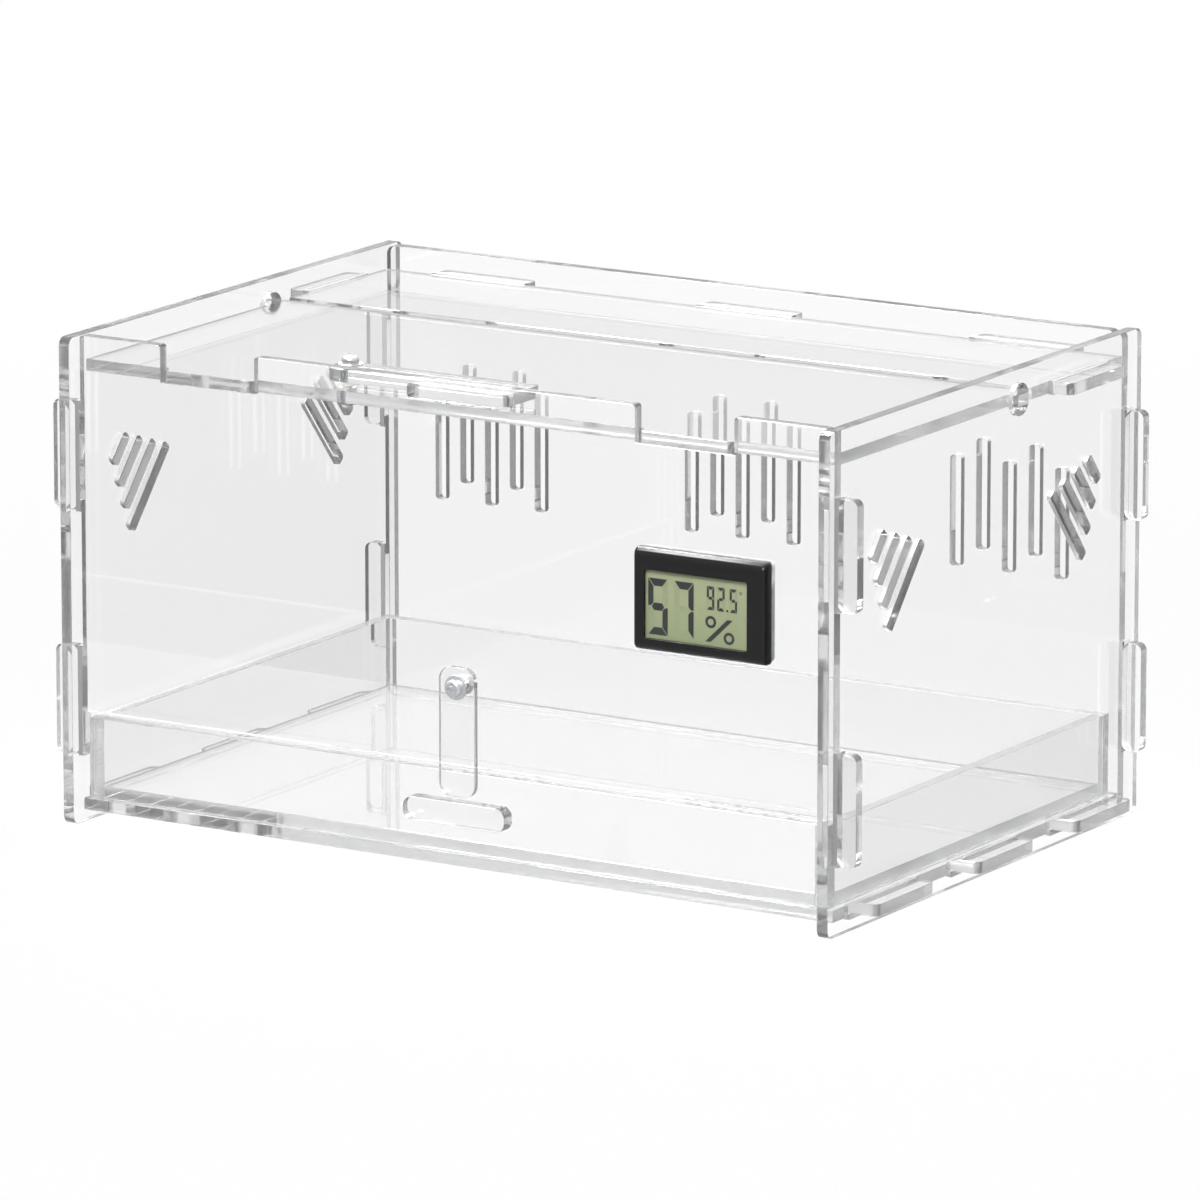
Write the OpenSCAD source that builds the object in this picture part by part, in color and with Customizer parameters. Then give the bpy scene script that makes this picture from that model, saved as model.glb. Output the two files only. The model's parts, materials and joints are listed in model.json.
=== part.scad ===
// Flat-pack acrylic terrarium: laser-cut sheets that lock with tabs and slots,
// a hinged lid with a turning latch, a pull-out substrate drawer and a panel meter.
// Front faces -Y, up is +Z, the origin is on the floor under the middle of the box.

/* [Box] */
// Width over the outer faces of the side panels
box_w = 286; // [276:1:320]
// Depth of the side panels, front edge to back edge
box_d = 197; // [188:1:230]
// Height of the side panels
box_h = 160; // [150:1:190]
// Thickness of every acrylic sheet but the drawer latch
sheet = 4; // [3:0.5:5]
// Corner radius of the large panels
corner_r = 3; // [1:0.5:5]
// Corner radius of the front panel's raised stretches
raised_r = 1.2; // [0.5:0.1:3]
// How far the front and back panels sit in from the side panels' edges
panel_inset = 6; // [4:0.5:8]
// Clear height under the base plate
base_lift = 4; // [3:0.5:8]
// Clearance round a tab in its slot
fit_gap = 0.2; // [0.1:0.05:0.4]
// How far a tab stands out of the panel that it passes through
tab_out = 6.5; // [4:0.5:9]
// Corner radius at the free end of a tab
tab_r = 2.5; // [1:0.5:3.5]
// Corner radius at the ends of the vents and of the latch slot
slot_r = 1.2; // [0.5:0.1:1.2]

/* [Hook tabs] */
// Length of a hook's head along the panel's edge
hook_len = 36; // [30:1:42]
// Length of the neck behind the head
hook_neck = 29; // [26:1:30]
// Straight run of the neck before it flares out to the head
hook_neck_run = 2; // [1:0.5:3]
// Height of the lower hooks' middle above the floor
hook_low_z = 40; // [36:1:50]
// Distance of the front panel's upper hooks below the top, to their middle
front_hook_drop = 39.5; // [30:0.5:48]
// Distance of the back panel's upper hooks below the top, to their middle
back_hook_drop = 43.5; // [36:0.5:48]

/* [Base] */
// Length of a base tab
base_tab_len = 36; // [28:1:44]
// Spacing of the three base tabs on each side
base_tab_pitch = 63.5; // [58:0.5:66]
// Shift of the middle base tab behind the middle of the box
base_tab_shift = 2.5; // [0:0.5:6]
// Lead-in length of a base slot in front of its tab
base_slot_lead = 6.5; // [3:0.5:9]
// How far the base plate's front edge sits behind the side panels' edges
base_front_inset = 6; // [5:0.5:10]

/* [Side vents] */
// Slots in each group of slanted side vents
side_vents = 4; // [2:1:5]
// Width of a side vent
side_vent_w = 4; // [2.5:0.5:5]
// Slope of the side vents in degrees
side_vent_slope = 50; // [40:1:60]
// Length of the shortest side vent
side_vent_len = 11; // [8:0.5:14]
// Added length from one side vent to the next
side_vent_step = 7; // [5:0.5:8]
// Distance along the panel from one side vent to the next
side_vent_pitch = 7.6; // [7:0.2:9]
// Drop from one side vent's upper end to the next
side_vent_fall = 2.4; // [1:0.2:4]
// Distance of the shortest vent's upper end from the panel's edge
side_vent_edge = 34.4; // [30:0.2:40]
// Distance of the shortest vent's upper end below the top
side_vent_drop = 37; // [32:0.5:46]

/* [Back vents] */
// Groups of upright vents in the back panel
back_vent_groups = 3; // [1:1:3]
// Spacing of the groups
back_vent_spacing = 97.4; // [80:0.1:102]
// Slots in each group
back_vents = 5; // [3:2:7]
// Spacing of the slots in a group
back_vent_pitch = 9.75; // [7:0.25:11]
// Width of a back vent
back_vent_w = 4; // [2.5:0.5:5]
// Length of a back vent
back_vent_len = 36.7; // [25:0.1:50]
// Rise of every second slot
back_vent_stagger = 6.5; // [0:0.5:10]
// Distance of the lower slots' upper ends below the top
back_vent_drop = 47.3; // [40:0.1:60]

/* [Lid] */
// Depth of the lid's top face below the top of the panels
lid_drop = 8; // [7:0.5:12]
// Distance of the hinge axis in front of the back panel
hinge_back = 68.5; // [60:0.5:90]
// How far the lid runs on behind its hinge axis
lid_heel = 5.5; // [5:0.25:7]
// Gap between the lid and the fixed rear strip
strip_gap = 4; // [2.5:0.5:6]
// Width of a hinge ear
ear_w = 9; // [7:0.5:10]
// How far a hinge ear stands out of its side panel
ear_out = 1; // [0.5:0.25:4]
// Corner radius of a hinge ear
ear_r = 1.5; // [0.5:0.25:2]
// Clearance of an ear's corners in its round hole
ear_gap = 0.3; // [0.15:0.05:0.5]
// Gap between the lid and each side panel
lid_side_gap = 0.6; // [0.4:0.1:1.2]
// Gap between the lid and the front panel
lid_front_gap = 0.5; // [0.4:0.1:1.2]
// Width of a front tab on the lid
lid_tab_w = 35; // [25:1:40]
// Mean distance of a front tab's middle from the nearer side panel
lid_tab_edge = 50.3; // [44:0.1:57]
// Shift of both front tabs to the left
lid_tab_left = 1.3; // [0:0.1:3]
// Clearance beside a front tab in its notch
notch_gap = 0.4; // [0.3:0.1:1]

/* [Rear strip] */
// Length of a rear strip tab
strip_tab_len = 36; // [28:1:42]
// Spacing of the rear strip's three tabs in the back panel
strip_tab_pitch = 103; // [90:1:108]

/* [Lid latch] */
// Middle of the latch slot, to the right of the middle of the box
lid_slot_x = 4.5; // [0:0.5:8]
// Length of the latch slot in the front panel
lid_slot_len = 38; // [32:1:44]
// Distance from the latch's pivot to the middle of its tongue
lever_reach = 49.5; // [44:0.5:54]
// Distance of the pivot behind the front panel
lever_back = 10.5; // [9.5:0.5:14]
// Width of the latch's arm
lever_w = 12; // [10:0.5:14]
// Corner radius of the latch's arm and tongue
lever_r = 2; // [1:0.25:3]
// Play beside the tongue in its slot
lever_side_play = 1.2; // [1:0.1:2]
// Play above and below the tongue in its slot
lever_lift_play = 0.3; // [0.2:0.1:0.6]
// Distance of the tongue's end behind the front panel's face
tongue_short = 0.5; // [0.2:0.1:1.5]
// Thickness of the spacer under the latch
spacer_t = 1.5; // [1:0.1:2.5]

/* [Drawer] */
// Height of the drawer's mouth under the front panel
mouth_z = 36.5; // [32:0.5:44]
// Gap above the drawer's walls
drawer_top_gap = 1.8; // [0.8:0.1:3]
// Gap beside the drawer
drawer_side_gap = 2; // [1:0.1:4]
// How far the drawer's front sits behind the front panel's face
drawer_front_gap = 0.5; // [0.3:0.1:1.5]
// Gap between the drawer and the back panel
drawer_back_gap = 2.5; // [1.5:0.5:8]
// Length of the pull
pull_len = 38; // [30:1:60]
// Height of the pull
pull_h = 8; // [7:0.5:9]
// How far the pull stands out of the drawer's front
pull_out = 5; // [4:0.5:7]
// Corner radius of the pull
pull_r = 3.5; // [2:0.25:3.5]
// Gap between the pull and the latch that hangs above it
pull_drop = 1; // [0.5:0.1:2]

/* [Drawer latch] */
// Middle of the drawer's pull and latch, to the right of the middle of the box
pull_x = 5; // [0:0.5:12]
// Width of the drawer latch
strap_w = 13.4; // [12:0.1:18]
// Thickness of the drawer latch
strap_t = 2; // [1.5:0.5:4]
// Corner radius of the drawer latch
strap_r = 4.5; // [2:0.25:6]
// Height of the drawer latch's pivot above the mouth
strap_pivot_rise = 26.1; // [22:0.1:30]
// Length of the drawer latch above its pivot
strap_above = 6.5; // [5:0.25:8]
// How far the drawer latch hangs below the mouth
strap_overlap = 9.6; // [8:0.1:10.5]

/* [Screws] */
// Shank diameter of the latch screws
screw_d = 3; // [2.5:0.5:4]
// Diameter of a screw's pan head
head_d = 5.6; // [5:0.1:7]
// Height of a screw's pan head
head_h = 2.2; // [1.6:0.1:3]
// Width across a screw's cross recess
recess_span = 3.4; // [2.5:0.1:4]
// Width of each slot of the cross recess
recess_w = 0.75; // [0.5:0.05:1]
// Depth of the cross recess
recess_deep = 1.1; // [0.6:0.1:1.2]
// Diameter of a washer
washer_d = 8; // [6.5:0.1:9]
// Thickness of a washer
washer_t = 0.6; // [0.4:0.1:1]
// Width across the flats of a nut
nut_af = 5.5; // [5:0.1:7]
// Height of a nut
nut_h = 2.4; // [2:0.1:3.2]
// Radial clearance of a screw in what turns on it
pivot_gap = 0.1; // [0.05:0.01:0.15]
// Play at each face of a turning latch
face_play = 0.2; // [0.1:0.05:0.3]

/* [Meter] */
// Width of the meter's bezel
meter_w = 48; // [47:0.5:54]
// Height of the meter's bezel
meter_h = 32.6; // [31.6:0.1:36]
// How far the bezel stands out of the front panel
meter_out = 4.2; // [4:0.1:6]
// Inset of the slopes along the top and the foot of the bezel
meter_bevel = 1.9; // [1:0.1:2.2]
// Inset of the slopes at the two sides of the bezel
meter_side_bevel = 1.2; // [0.8:0.1:1.8]
// Depth of the slopes behind the bezel's face
meter_bevel_deep = 2.8; // [2:0.1:3.2]
// Corner radius of the bezel
meter_r = 2; // [1:0.25:3]
// Distance of the meter's middle from the right side panel
meter_edge = 44; // [35:0.5:49]
// Middle of the meter below the top
meter_drop = 60.4; // [52:0.1:64]
// Thickness of the bezel's side walls
bezel_wall = 2.2; // [1.8:0.1:2.4]
// Lap of the bezel's lip over the panel's cut-out on every side
meter_lap = 0.3; // [0.2:0.1:0.8]
// How far the case behind the panel steps in from the bezel's outline on every side
case_step = 6.8; // [5.5:0.1:6.8]
// Thickness of the bezel's front wall
meter_face_t = 1.1; // [0.9:0.1:1.3]
// Thickness of the meter's other walls
meter_wall = 1.1; // [0.8:0.1:1.4]
// Clearance of the bezel in the cut-out and of the board and the case in the bezel
meter_gap = 0.2; // [0.1:0.05:0.4]
// Mean width of the bezel's frame round the display window
frame_w = 5.4; // [5.2:0.1:8]
// Shift of the display window to the left of the bezel's middle
window_left = 1.2; // [0:0.1:1.6]
// Shift of the display window below the bezel's middle
window_down = 1.2; // [0:0.1:1.6]
// Margin of the display beyond its window
window_lap = 1.4; // [1:0.1:1.6]
// Thickness of the clear window
window_t = 0.8; // [0.6:0.1:1]
// Thickness of the display
display_t = 1; // [0.8:0.1:1.2]
// Thickness of the circuit board
board_t = 0.8; // [0.6:0.1:1]
// Depth of the meter's case behind the front panel
meter_deep = 8; // [6:0.5:12]
// Diameter of a button cell
cell_d = 11.6; // [9.5:0.1:12.5]
// Height of a button cell
cell_h = 5.4; // [3:0.1:5.6]
// Gap between the two button cells
cell_gap = 1; // [0.5:0.1:2]
// Margin of the battery door round the cells
door_margin = 1; // [0.5:0.1:1.5]

/* [Hidden] */
$fn = 64;
// Overlap that makes joined outlines one
root = 1;
// Extra length of a cutting shape past a face
past = 1;

inner_w = box_w - 2 * sheet;
inner_x = inner_w / 2;
outer_x = box_w / 2;
front_y = -box_d / 2 + panel_inset;
front_in = front_y + sheet;
back_y = box_d / 2 - panel_inset;
back_in = back_y - sheet;
base_top = base_lift + sheet;
tab_reach = sheet + tab_out;
hook_flare = (hook_len - hook_neck) / 2;
front_hook_zs = [hook_low_z, box_h - front_hook_drop];
back_hook_zs = [hook_low_z, box_h - back_hook_drop];
base_tab_ys = [for (k = [-1 : 1]) base_tab_shift + k * base_tab_pitch];

lid_top = box_h - lid_drop;
lid_z = lid_top - sheet;
hinge_y = back_in - hinge_back;
hinge_z = lid_z + sheet / 2;
ear_hole_r = norm([ear_w, sheet]) / 2 + ear_gap;
lid_half_w = inner_x - lid_side_gap;
lid_front = front_in + lid_front_gap;
lid_rear = hinge_y + lid_heel;
lid_tab_xs = [for (s = [-1, 1]) s * (inner_x - lid_tab_edge) - lid_tab_left];
notch_half = lid_tab_w / 2 + notch_gap;

strip_front = lid_rear + strip_gap;
strip_deep = back_in - strip_front;
strip_mid_y = strip_front + strip_deep / 2;
strip_tab_xs = [for (k = [-1 : 1]) k * strip_tab_pitch];

lever_x = lid_slot_x - lever_reach;
lever_y = front_in + lever_back;
lever_z = lid_top + spacer_t + face_play;
tongue_half = lid_slot_len / 2 - lever_side_play;
screw_hole_d = screw_d + 2 * pivot_gap;

drawer_top = mouth_z - drawer_top_gap;
drawer_h = drawer_top - base_top;
drawer_half_w = inner_x - drawer_side_gap;
drawer_front = front_y + drawer_front_gap;
drawer_back = back_in - drawer_back_gap;
drawer_inner_w = 2 * (drawer_half_w - sheet);
drawer_inner_d = drawer_back - drawer_front - 2 * sheet;

strap_z = mouth_z + strap_pivot_rise;
strap_top = strap_z + strap_above;
strap_low = mouth_z - strap_overlap;
strap_front = front_y - face_play - strap_t;
pull_z = strap_low - pull_drop - pull_h / 2;

meter_x = inner_x - meter_edge;
meter_z = box_h - meter_drop;
window_w = meter_w - 2 * frame_w;
window_h = meter_h - 2 * frame_w;
hollow_w = meter_w - 2 * bezel_wall;
hollow_h = meter_h - 2 * bezel_wall;
cutout_w = meter_w - 2 * meter_lap;
cutout_h = meter_h - 2 * meter_lap;
case_w = meter_w - 2 * case_step;
case_h = meter_h - 2 * case_step;
meter_front = front_y - meter_out;
window_y = meter_front + meter_face_t;
display_y = window_y + window_t;
board_y = display_y + display_t;
case_front = board_y + board_t;
case_rear = front_in + meter_deep;
door_w = 2 * cell_d + cell_gap + 2 * door_margin;
door_h = cell_d + 2 * door_margin;

clear = [0.90, 0.93, 0.95, 0.35];
steel = [0.75, 0.76, 0.78];
black = [0.06, 0.06, 0.07];

// Flat outlines

// Rectangle with round corners, about its middle
module rounded(w, h, r) {
    square([w - 2 * r, h], center = true);
    square([w, h - 2 * r], center = true);
    for (sx = [-1, 1], sy = [-1, 1])
        translate([sx * (w / 2 - r), sy * (h / 2 - r)]) circle(r);
}

// Slot with round corners that runs along X from the origin, len long overall
module slot(len, w) {
    translate([len / 2, 0]) rounded(len, w, slot_r);
}

// Tab with round outer corners: it leaves an edge along Y at x = 0 towards +X
module tab(len, reach, r = tab_r, lap = root) {
    translate([-lap, -len / 2]) square([lap + reach - r, len]);
    translate([0, -len / 2 + r]) square([reach, len - 2 * r]);
    for (s = [-1, 1]) translate([reach - r, s * (len / 2 - r)]) circle(r);
}

// Hook: a neck through the side panel that flares at 45 degrees to a longer head
module hook_tab() {
    flare_end = hook_neck_run + hook_flare;
    translate([-root, -hook_neck / 2]) square([root + hook_neck_run, hook_neck]);
    polygon([
        [hook_neck_run, -hook_neck / 2], [flare_end, -hook_len / 2],
        [flare_end, hook_len / 2], [hook_neck_run, hook_neck / 2]
    ]);
    translate([flare_end, 0]) tab(hook_len, tab_reach - flare_end, lap = 0);
}

// The four hooks on the upright edges of the front or back panel, at the heights zs
module hooks(zs) {
    for (z = zs) {
        translate([inner_x, z]) hook_tab();
        translate([-inner_x, z]) mirror([1, 0]) hook_tab();
    }
}

// Sheets from outlines

// Upright sheet across the box: the outline is X by Z, the front face lies at y
module across(y, t = sheet) {
    translate([0, y + t, 0]) rotate([90, 0, 0]) linear_extrude(t) children();
}

// Upright sheet along the box: the outline is Y by Z, the left face lies at x
module along(x, t = sheet) {
    translate([x, 0, 0]) rotate([90, 0, 90]) linear_extrude(t) children();
}

// Level sheet: the outline is X by Y, the lower face lies at z
module level(z, t = sheet) {
    translate([0, 0, z]) linear_extrude(t) children();
}

// Box

// One group of slanted vents, upper ends towards the middle of the panel
module side_vent_group() {
    for (k = [0 : side_vents - 1])
        translate([
            -box_d / 2 + side_vent_edge + k * side_vent_pitch,
            box_h - side_vent_drop - k * side_vent_fall
        ])
            rotate(180 + side_vent_slope)
                slot(side_vent_len + k * side_vent_step, side_vent_w);
}

// Opening for a tab of the given length, about its middle, with the sheet along Y or Z
module tab_slot(w, h) {
    square([w + 2 * fit_gap, h + 2 * fit_gap], center = true);
}

module side_outline() {
    difference() {
        translate([0, box_h / 2]) rounded(box_d, box_h, corner_r);
        for (z = front_hook_zs)
            translate([front_y + sheet / 2, z]) tab_slot(sheet, hook_len);
        for (z = back_hook_zs)
            translate([back_in + sheet / 2, z]) tab_slot(sheet, hook_len);
        for (y = base_tab_ys)
            translate([y - base_slot_lead / 2, base_lift + sheet / 2])
                tab_slot(base_tab_len + base_slot_lead, sheet);
        translate([strip_mid_y, lid_z + sheet / 2]) tab_slot(strip_tab_len, sheet);
        translate([hinge_y, hinge_z]) circle(ear_hole_r);
        side_vent_group();
        mirror([1, 0]) side_vent_group();
    }
}

module left_side_panel() {
    color(clear) along(-outer_x) side_outline();
}

module right_side_panel() {
    color(clear) along(inner_x) side_outline();
}

// Raised stretch of the front panel's top edge between x0 and x1
module raised(x0, x1) {
    depth = lid_drop + sheet + 2 * raised_r;
    translate([(x0 + x1) / 2, box_h - depth / 2]) rounded(x1 - x0, depth, raised_r);
}

module front_panel() {
    color(clear) across(front_y) difference() {
        union() {
            translate([-inner_x, mouth_z]) square([inner_w, lid_z - mouth_z]);
            raised(-inner_x, lid_tab_xs[0] - notch_half);
            raised(lid_tab_xs[0] + notch_half, lid_tab_xs[1] - notch_half);
            raised(lid_tab_xs[1] + notch_half, inner_x);
            hooks(front_hook_zs);
        }
        translate([-inner_x, 0]) square([inner_w, mouth_z]);
        translate([lid_slot_x - lid_slot_len / 2, lever_z + sheet / 2])
            slot(lid_slot_len, sheet + 2 * lever_lift_play);
        translate([pull_x, strap_z]) circle(d = screw_hole_d);
        translate([meter_x, meter_z]) rounded(cutout_w, cutout_h, meter_r);
    }
}

// One group of upright vents, every second one raised
module back_vent_group() {
    for (k = [0 : back_vents - 1])
        translate([
            (k - (back_vents - 1) / 2) * back_vent_pitch,
            box_h - back_vent_drop + (k % 2) * back_vent_stagger
        ])
            rotate(-90) slot(back_vent_len, back_vent_w);
}

module back_panel() {
    color(clear) across(back_in) difference() {
        union() {
            translate([0, box_h / 2]) rounded(inner_w, box_h, corner_r);
            hooks(back_hook_zs);
        }
        for (x = strip_tab_xs)
            translate([x, lid_z + sheet / 2]) tab_slot(strip_tab_len, sheet);
        for (k = [0 : back_vent_groups - 1])
            translate([(k - (back_vent_groups - 1) / 2) * back_vent_spacing, 0])
                back_vent_group();
    }
}

module base_plate() {
    base_front = -box_d / 2 + base_front_inset;
    color(clear) level(base_lift) {
        translate([-inner_x, base_front]) square([inner_w, back_in - base_front]);
        for (y = base_tab_ys, s = [0, 1])
            mirror([s, 0]) translate([inner_x, y]) tab(base_tab_len, tab_reach);
    }
}

module rear_top_strip() {
    color(clear) level(lid_z) {
        translate([-inner_x, strip_front]) square([inner_w, strip_deep]);
        for (s = [0, 1])
            mirror([s, 0]) translate([inner_x, strip_mid_y]) tab(strip_tab_len, tab_reach);
        for (x = strip_tab_xs)
            translate([x, back_in]) rotate(90) tab(strip_tab_len, tab_reach);
    }
}

// Lid and its latch

// Ear that turns in the round hole of a side panel
module lid_ear() {
    translate([lid_half_w, hinge_y]) tab(ear_w, lid_side_gap + sheet + ear_out, ear_r);
}

// Tab that rests in a notch of the front panel, its middle at x
module lid_front_tab(x) {
    translate([x, lid_front]) rotate(-90) tab(lid_tab_w, lid_front - front_y);
}

module lid_panel() {
    color(clear) level(lid_z) difference() {
        union() {
            translate([-lid_half_w, lid_front])
                square([2 * lid_half_w, lid_rear - lid_front]);
            for (s = [0, 1]) mirror([s, 0]) lid_ear();
            for (x = lid_tab_xs) lid_front_tab(x);
        }
        translate([lever_x, lever_y]) circle(d = screw_hole_d);
    }
}

// Arm with a wide tongue that turns into the front panel's slot
module lid_latch_lever() {
    tongue_end = -lever_back - sheet + tongue_short;
    arm_end = lever_reach + tongue_half;
    tongue_deep = lever_w / 2 - tongue_end;
    color(clear) translate([lever_x, lever_y, lever_z]) linear_extrude(sheet) difference() {
        union() {
            circle(d = lever_w);
            translate([0, -lever_w / 2]) square([arm_end - lever_w / 2, lever_w]);
            translate([lever_reach, tongue_end + tongue_deep / 2])
                rounded(2 * tongue_half, tongue_deep, lever_r);
        }
        circle(d = screw_hole_d);
    }
}

// Screws, washers and nuts

// Pan-head screw along -Z: the underside of its head lies at z = 0
module pan_screw(shank) {
    dome_r = head_h / 2;
    translate([0, 0, -shank]) cylinder(d = screw_d, h = shank);
    difference() {
        rotate_extrude() {
            square([head_d / 2 - dome_r, head_h]);
            square([head_d / 2, head_h - dome_r]);
            translate([head_d / 2 - dome_r, head_h - dome_r]) circle(dome_r);
        }
        for (a = [0, 90])
            rotate(a) translate([0, 0, head_h])
                cube([recess_span, recess_w, 2 * recess_deep], center = true);
    }
}

module washer(d, t) {
    linear_extrude(t) difference() {
        circle(d = d);
        circle(d = screw_hole_d);
    }
}

// Hexagon nut
module nut() {
    linear_extrude(nut_h) difference() {
        circle(d = nut_af / cos(30), $fn = 6);
        circle(d = screw_hole_d);
    }
}

module lid_latch_bolt() {
    head_z = lever_z + sheet + face_play + washer_t;
    color(steel) translate([lever_x, lever_y, head_z]) pan_screw(head_z - lid_z + nut_h);
}

module lid_latch_washer() {
    color(steel) translate([lever_x, lever_y, lever_z + sheet + face_play])
        washer(washer_d, washer_t);
}

module lid_latch_spacer() {
    color("white") translate([lever_x, lever_y, lid_top]) washer(washer_d, spacer_t);
}

module lid_latch_nut() {
    color(steel) translate([lever_x, lever_y, lid_z - nut_h]) nut();
}

// Places its children on the drawer latch's pivot, turned so that +Z points to the front
module on_strap_pivot(y) {
    translate([pull_x, y, strap_z]) rotate([90, 0, 0]) children();
}

module drawer_latch_strap() {
    strap_len = strap_top - strap_low;
    color(clear) across(strap_front, strap_t) difference() {
        translate([pull_x, strap_low + strap_len / 2]) rounded(strap_w, strap_len, strap_r);
        translate([pull_x, strap_z]) circle(d = screw_hole_d);
    }
}

module drawer_latch_bolt() {
    head_y = strap_front - face_play - washer_t;
    color(steel) on_strap_pivot(head_y) pan_screw(front_in - head_y + nut_h);
}

module drawer_latch_washer() {
    color(steel) on_strap_pivot(strap_front - face_play) washer(washer_d, washer_t);
}

module drawer_latch_nut() {
    color(steel) on_strap_pivot(front_in + nut_h) nut();
}

// Drawer

module tray_front_wall() {
    color(clear) across(drawer_front)
        translate([-drawer_half_w, base_top]) square([2 * drawer_half_w, drawer_h]);
}

module tray_back_wall() {
    color(clear) across(drawer_back - sheet)
        translate([-drawer_half_w, base_top]) square([2 * drawer_half_w, drawer_h]);
}

module tray_side_outline() {
    translate([drawer_front + sheet, base_top]) square([drawer_inner_d, drawer_h]);
}

module tray_left_wall() {
    color(clear) along(-drawer_half_w) tray_side_outline();
}

module tray_right_wall() {
    color(clear) along(drawer_half_w - sheet) tray_side_outline();
}

module tray_floor() {
    color(clear) level(base_top) translate([-drawer_inner_w / 2, drawer_front + sheet])
        square([drawer_inner_w, drawer_inner_d]);
}

module drawer_pull() {
    color(clear) across(drawer_front - pull_out, pull_out)
        translate([pull_x, pull_z]) rounded(pull_len, pull_h, pull_r);
}

// Meter

// Puts an outline of X by Z, about the meter's middle, at depth y
module meter_sheet(y, t) {
    across(y, t) translate([meter_x, meter_z]) children();
}

// Outline of the display window with a margin round it
module window_outline(margin) {
    translate([-window_left, -window_down])
        square([window_w + 2 * margin, window_h + 2 * margin], center = true);
}

// Cross-section of the bezel whose two sides slope in to its face, half by out
module bevel_profile(half, inset) {
    straight = meter_out - meter_bevel_deep;
    polygon([
        [-half, 0], [half, 0], [half, straight], [half - inset, meter_out],
        [-half + inset, meter_out], [-half, straight]
    ]);
}

// Solid bezel block before it is hollowed: its corners round, its sides sloped to the face
module bezel_block() {
    intersection() {
        meter_sheet(meter_front, meter_out) rounded(meter_w, meter_h, meter_r);
        translate([meter_x, front_y, meter_z - meter_h / 2])
            linear_extrude(meter_h) mirror([0, 1])
                bevel_profile(meter_w / 2, meter_side_bevel);
        translate([meter_x - meter_w / 2, front_y, meter_z])
            rotate([90, 0, 90]) linear_extrude(meter_w) rotate(90)
                bevel_profile(meter_h / 2, meter_bevel);
    }
}

// Outline of what fits in the bezel's hollow
module hollow_outline() {
    square([hollow_w - 2 * meter_gap, hollow_h - 2 * meter_gap], center = true);
}

// Bezel with a lip on the panel's face and a sleeve that fills the cut-out
module meter_bezel() {
    color(black) difference() {
        union() {
            bezel_block();
            meter_sheet(front_y - root, root + sheet)
                rounded(cutout_w - 2 * meter_gap, cutout_h - 2 * meter_gap, meter_r);
        }
        meter_sheet(window_y, front_in + past - window_y)
            square([hollow_w, hollow_h], center = true);
        meter_sheet(meter_front - past, meter_out) window_outline(0);
    }
}

module meter_window() {
    color(clear) meter_sheet(window_y, window_t) window_outline(window_lap);
}

module meter_display() {
    color([0.65, 0.67, 0.51]) meter_sheet(display_y, display_t) window_outline(window_lap);
}

module meter_board() {
    color("darkgreen") meter_sheet(board_y, board_t) hollow_outline();
}

// Open-fronted case with a flange in the bezel's sleeve and a mouth for the battery door
module meter_case() {
    color(black) difference() {
        union() {
            meter_sheet(case_front, case_rear - case_front)
                square([case_w, case_h], center = true);
            meter_sheet(front_in - meter_wall, meter_wall) hollow_outline();
        }
        meter_sheet(case_front - past, case_rear - meter_wall - case_front + past)
            square([case_w - 2 * meter_wall, case_h - 2 * meter_wall], center = true);
        meter_sheet(case_rear - 2 * meter_wall, 3 * meter_wall)
            square([door_w + 2 * meter_gap, door_h + 2 * meter_gap], center = true);
    }
}

module meter_battery_door() {
    color(black) meter_sheet(case_rear - meter_wall, meter_wall)
        square([door_w, door_h], center = true);
}

module meter_button_cells() {
    cell_y = case_rear - meter_wall - cell_h;
    color(steel) for (s = [-1, 1])
        meter_sheet(cell_y, cell_h)
            translate([s * (cell_d + cell_gap) / 2, 0]) circle(d = cell_d);
}

left_side_panel();
right_side_panel();
front_panel();
back_panel();
base_plate();
rear_top_strip();
lid_panel();
lid_latch_lever();
lid_latch_bolt();
lid_latch_washer();
lid_latch_spacer();
lid_latch_nut();
drawer_latch_strap();
drawer_latch_bolt();
drawer_latch_washer();
drawer_latch_nut();
tray_front_wall();
tray_back_wall();
tray_left_wall();
tray_right_wall();
tray_floor();
drawer_pull();
meter_bezel();
meter_window();
meter_display();
meter_board();
meter_case();
meter_battery_door();
meter_button_cells();
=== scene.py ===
# %% [markdown]
# # A clear terrarium with a drawer and a meter
#
# The object is a flat-pack box of clear cast acrylic sheets, locked by tabs and slots. Its shape is
# already settled in CAD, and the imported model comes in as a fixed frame, in metres with +Z up. This
# lesson gives every sheet its polished faces and cut edges, gives the fasteners their threads and the
# meter its display, and then sets up a white studio in which clear plastic still shows its outlines.

# %% Load the fixed frame
import json
import math

import bmesh
import bpy
from mathutils import Matrix, Vector


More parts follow.
